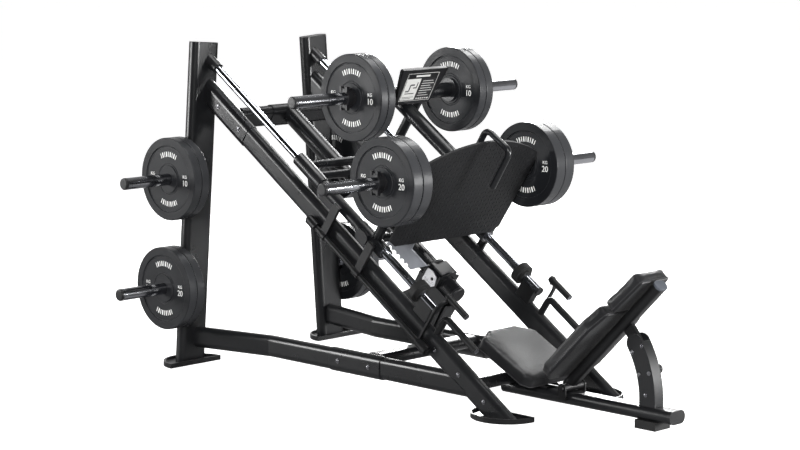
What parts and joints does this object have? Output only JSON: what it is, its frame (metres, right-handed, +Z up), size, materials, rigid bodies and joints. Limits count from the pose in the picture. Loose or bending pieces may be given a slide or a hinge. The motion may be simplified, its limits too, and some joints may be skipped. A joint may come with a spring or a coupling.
{
  "type": "leg press machine",
  "caption": "Plate-loaded incline leg press: sled on sloping guide rods with tilting footplate, safety locks, plate storage horns, seat and adjustable backrest.",
  "frame": {"origin": "centre of the footprint's bounding box, on the floor", "axes": "+Y from the backrest towards the uprights, +Z up, X = 0 is the plane of symmetry, +X is on the user's right"},
  "size_m": [1.5892, 2.4803, 1.3695],
  "materials": {
    "frame_paint": "satin black powder coat",
    "bracket_paint": "satin black powder coat",
    "sled_paint": "satin charcoal powder coat",
    "chrome": "polished",
    "steel": "zinc plated",
    "rack_steel": "grey coat",
    "plate_rubber": "moulded",
    "black_rubber": "matt",
    "black_plastic": "moulded",
    "placard_panel": "printed panel in a black frame",
    "tread": "dimpled tread, satin",
    "vinyl": "black upholstery vinyl"
  },
  "bodies": {
    "frame": {"upright_left": "frame_paint", "upright_right": "frame_paint", "upright_caps": "black_plastic", "upright_feet": "bracket_paint", "side_rail_left": "frame_paint", "side_rail_right": "frame_paint", "rail_sleeves": "frame_paint", "rail_feet": "bracket_paint", "base_beam_left": "frame_paint", "base_beam_right": "frame_paint", "base_sleeves": "frame_paint", "front_base_beams": "frame_paint", "rear_cross_member": "frame_paint", "front_cross_member": "frame_paint", "centre_beam": "frame_paint", "tube_end_caps": "black_plastic", "centre_post": "frame_paint", "centre_bracket": "bracket_paint", "top_cross_stubs": "frame_paint", "top_cross_sleeve": "frame_paint", "spine": "frame_paint", "spine_foot": "black_rubber", "guide_rods": "chrome", "rod_collars": "black_plastic", "rod_bumpers": "black_rubber", "rod_brackets": "bracket_paint", "storage_horns": "chrome", "storage_horn_caps": "black_plastic", "storage_plates": "plate_rubber", "frame_bolts": "steel", "side_handles": "bracket_paint", "side_handle_caps": "black_plastic", "lock_brackets": "bracket_paint", "seat_pad": "vinyl", "seat_bracket": "bracket_paint", "backrest_bracket": "bracket_paint", "backrest_pin": "steel", "backrest_post": "frame_paint", "catch_ear": "steel"},
    "sled": {"slide_tubes": "sled_paint", "linear_bushings": "steel", "sled_cross_tubes": "sled_paint", "sled_struts": "sled_paint", "horn_tubes": "sled_paint", "sled_horns": "chrome", "sled_horn_caps": "black_plastic", "sled_plates": "plate_rubber", "plate_collars": "black_plastic", "placard": "placard_panel", "sled_rack": "rack_steel"},
    "footplate_assembly": {"footplate": "tread", "footplate_frame": "sled_paint", "footplate_handle": "sled_paint"},
    "lock_lever_left": {"lock_left": "bracket_paint"},
    "lock_lever_right": {"lock_right": "bracket_paint"},
    "backrest_assembly": {"backrest_frame": "bracket_paint", "backrest_arm": "bracket_paint", "backrest_pad": "vinyl", "headrest_pad": "vinyl"},
    "adjustment_pin": {"pop_pin": "black_plastic"}
  },
  "joints": [
    {"name": "sled_slide", "type": "slide", "parent": "frame", "child": "sled", "axis": [0, 0.8261, 0.5635], "range_m": [-0.215, 0.55]},
    {"name": "footplate_tilt", "type": "hinge", "parent": "sled", "child": "footplate_assembly", "pos_m": [0, -0.15324, 0.88504], "axis": [-1, 0, 0], "range_deg": [0, 12]},
    {"name": "lock_swing_left", "type": "hinge", "parent": "frame", "child": "lock_lever_left", "pos_m": [-0.35, 0.49412, 0.75588], "axis": [0, -0.8261, -0.5635], "range_deg": [0, 60]},
    {"name": "lock_swing_right", "type": "hinge", "parent": "frame", "child": "lock_lever_right", "pos_m": [0.35, 0.49412, 0.75588], "axis": [0, 0.8261, 0.5635], "range_deg": [0, 60]},
    {"name": "backrest_recline", "type": "hinge", "parent": "frame", "child": "backrest_assembly", "pos_m": [0, -0.72625, 0.1], "axis": [-1, 0, 0], "range_deg": [0, 15]},
    {"name": "pin_pull", "type": "slide", "parent": "frame", "child": "adjustment_pin", "axis": [1, 0, 0], "range_m": [-0.018, 0]}
  ]
}
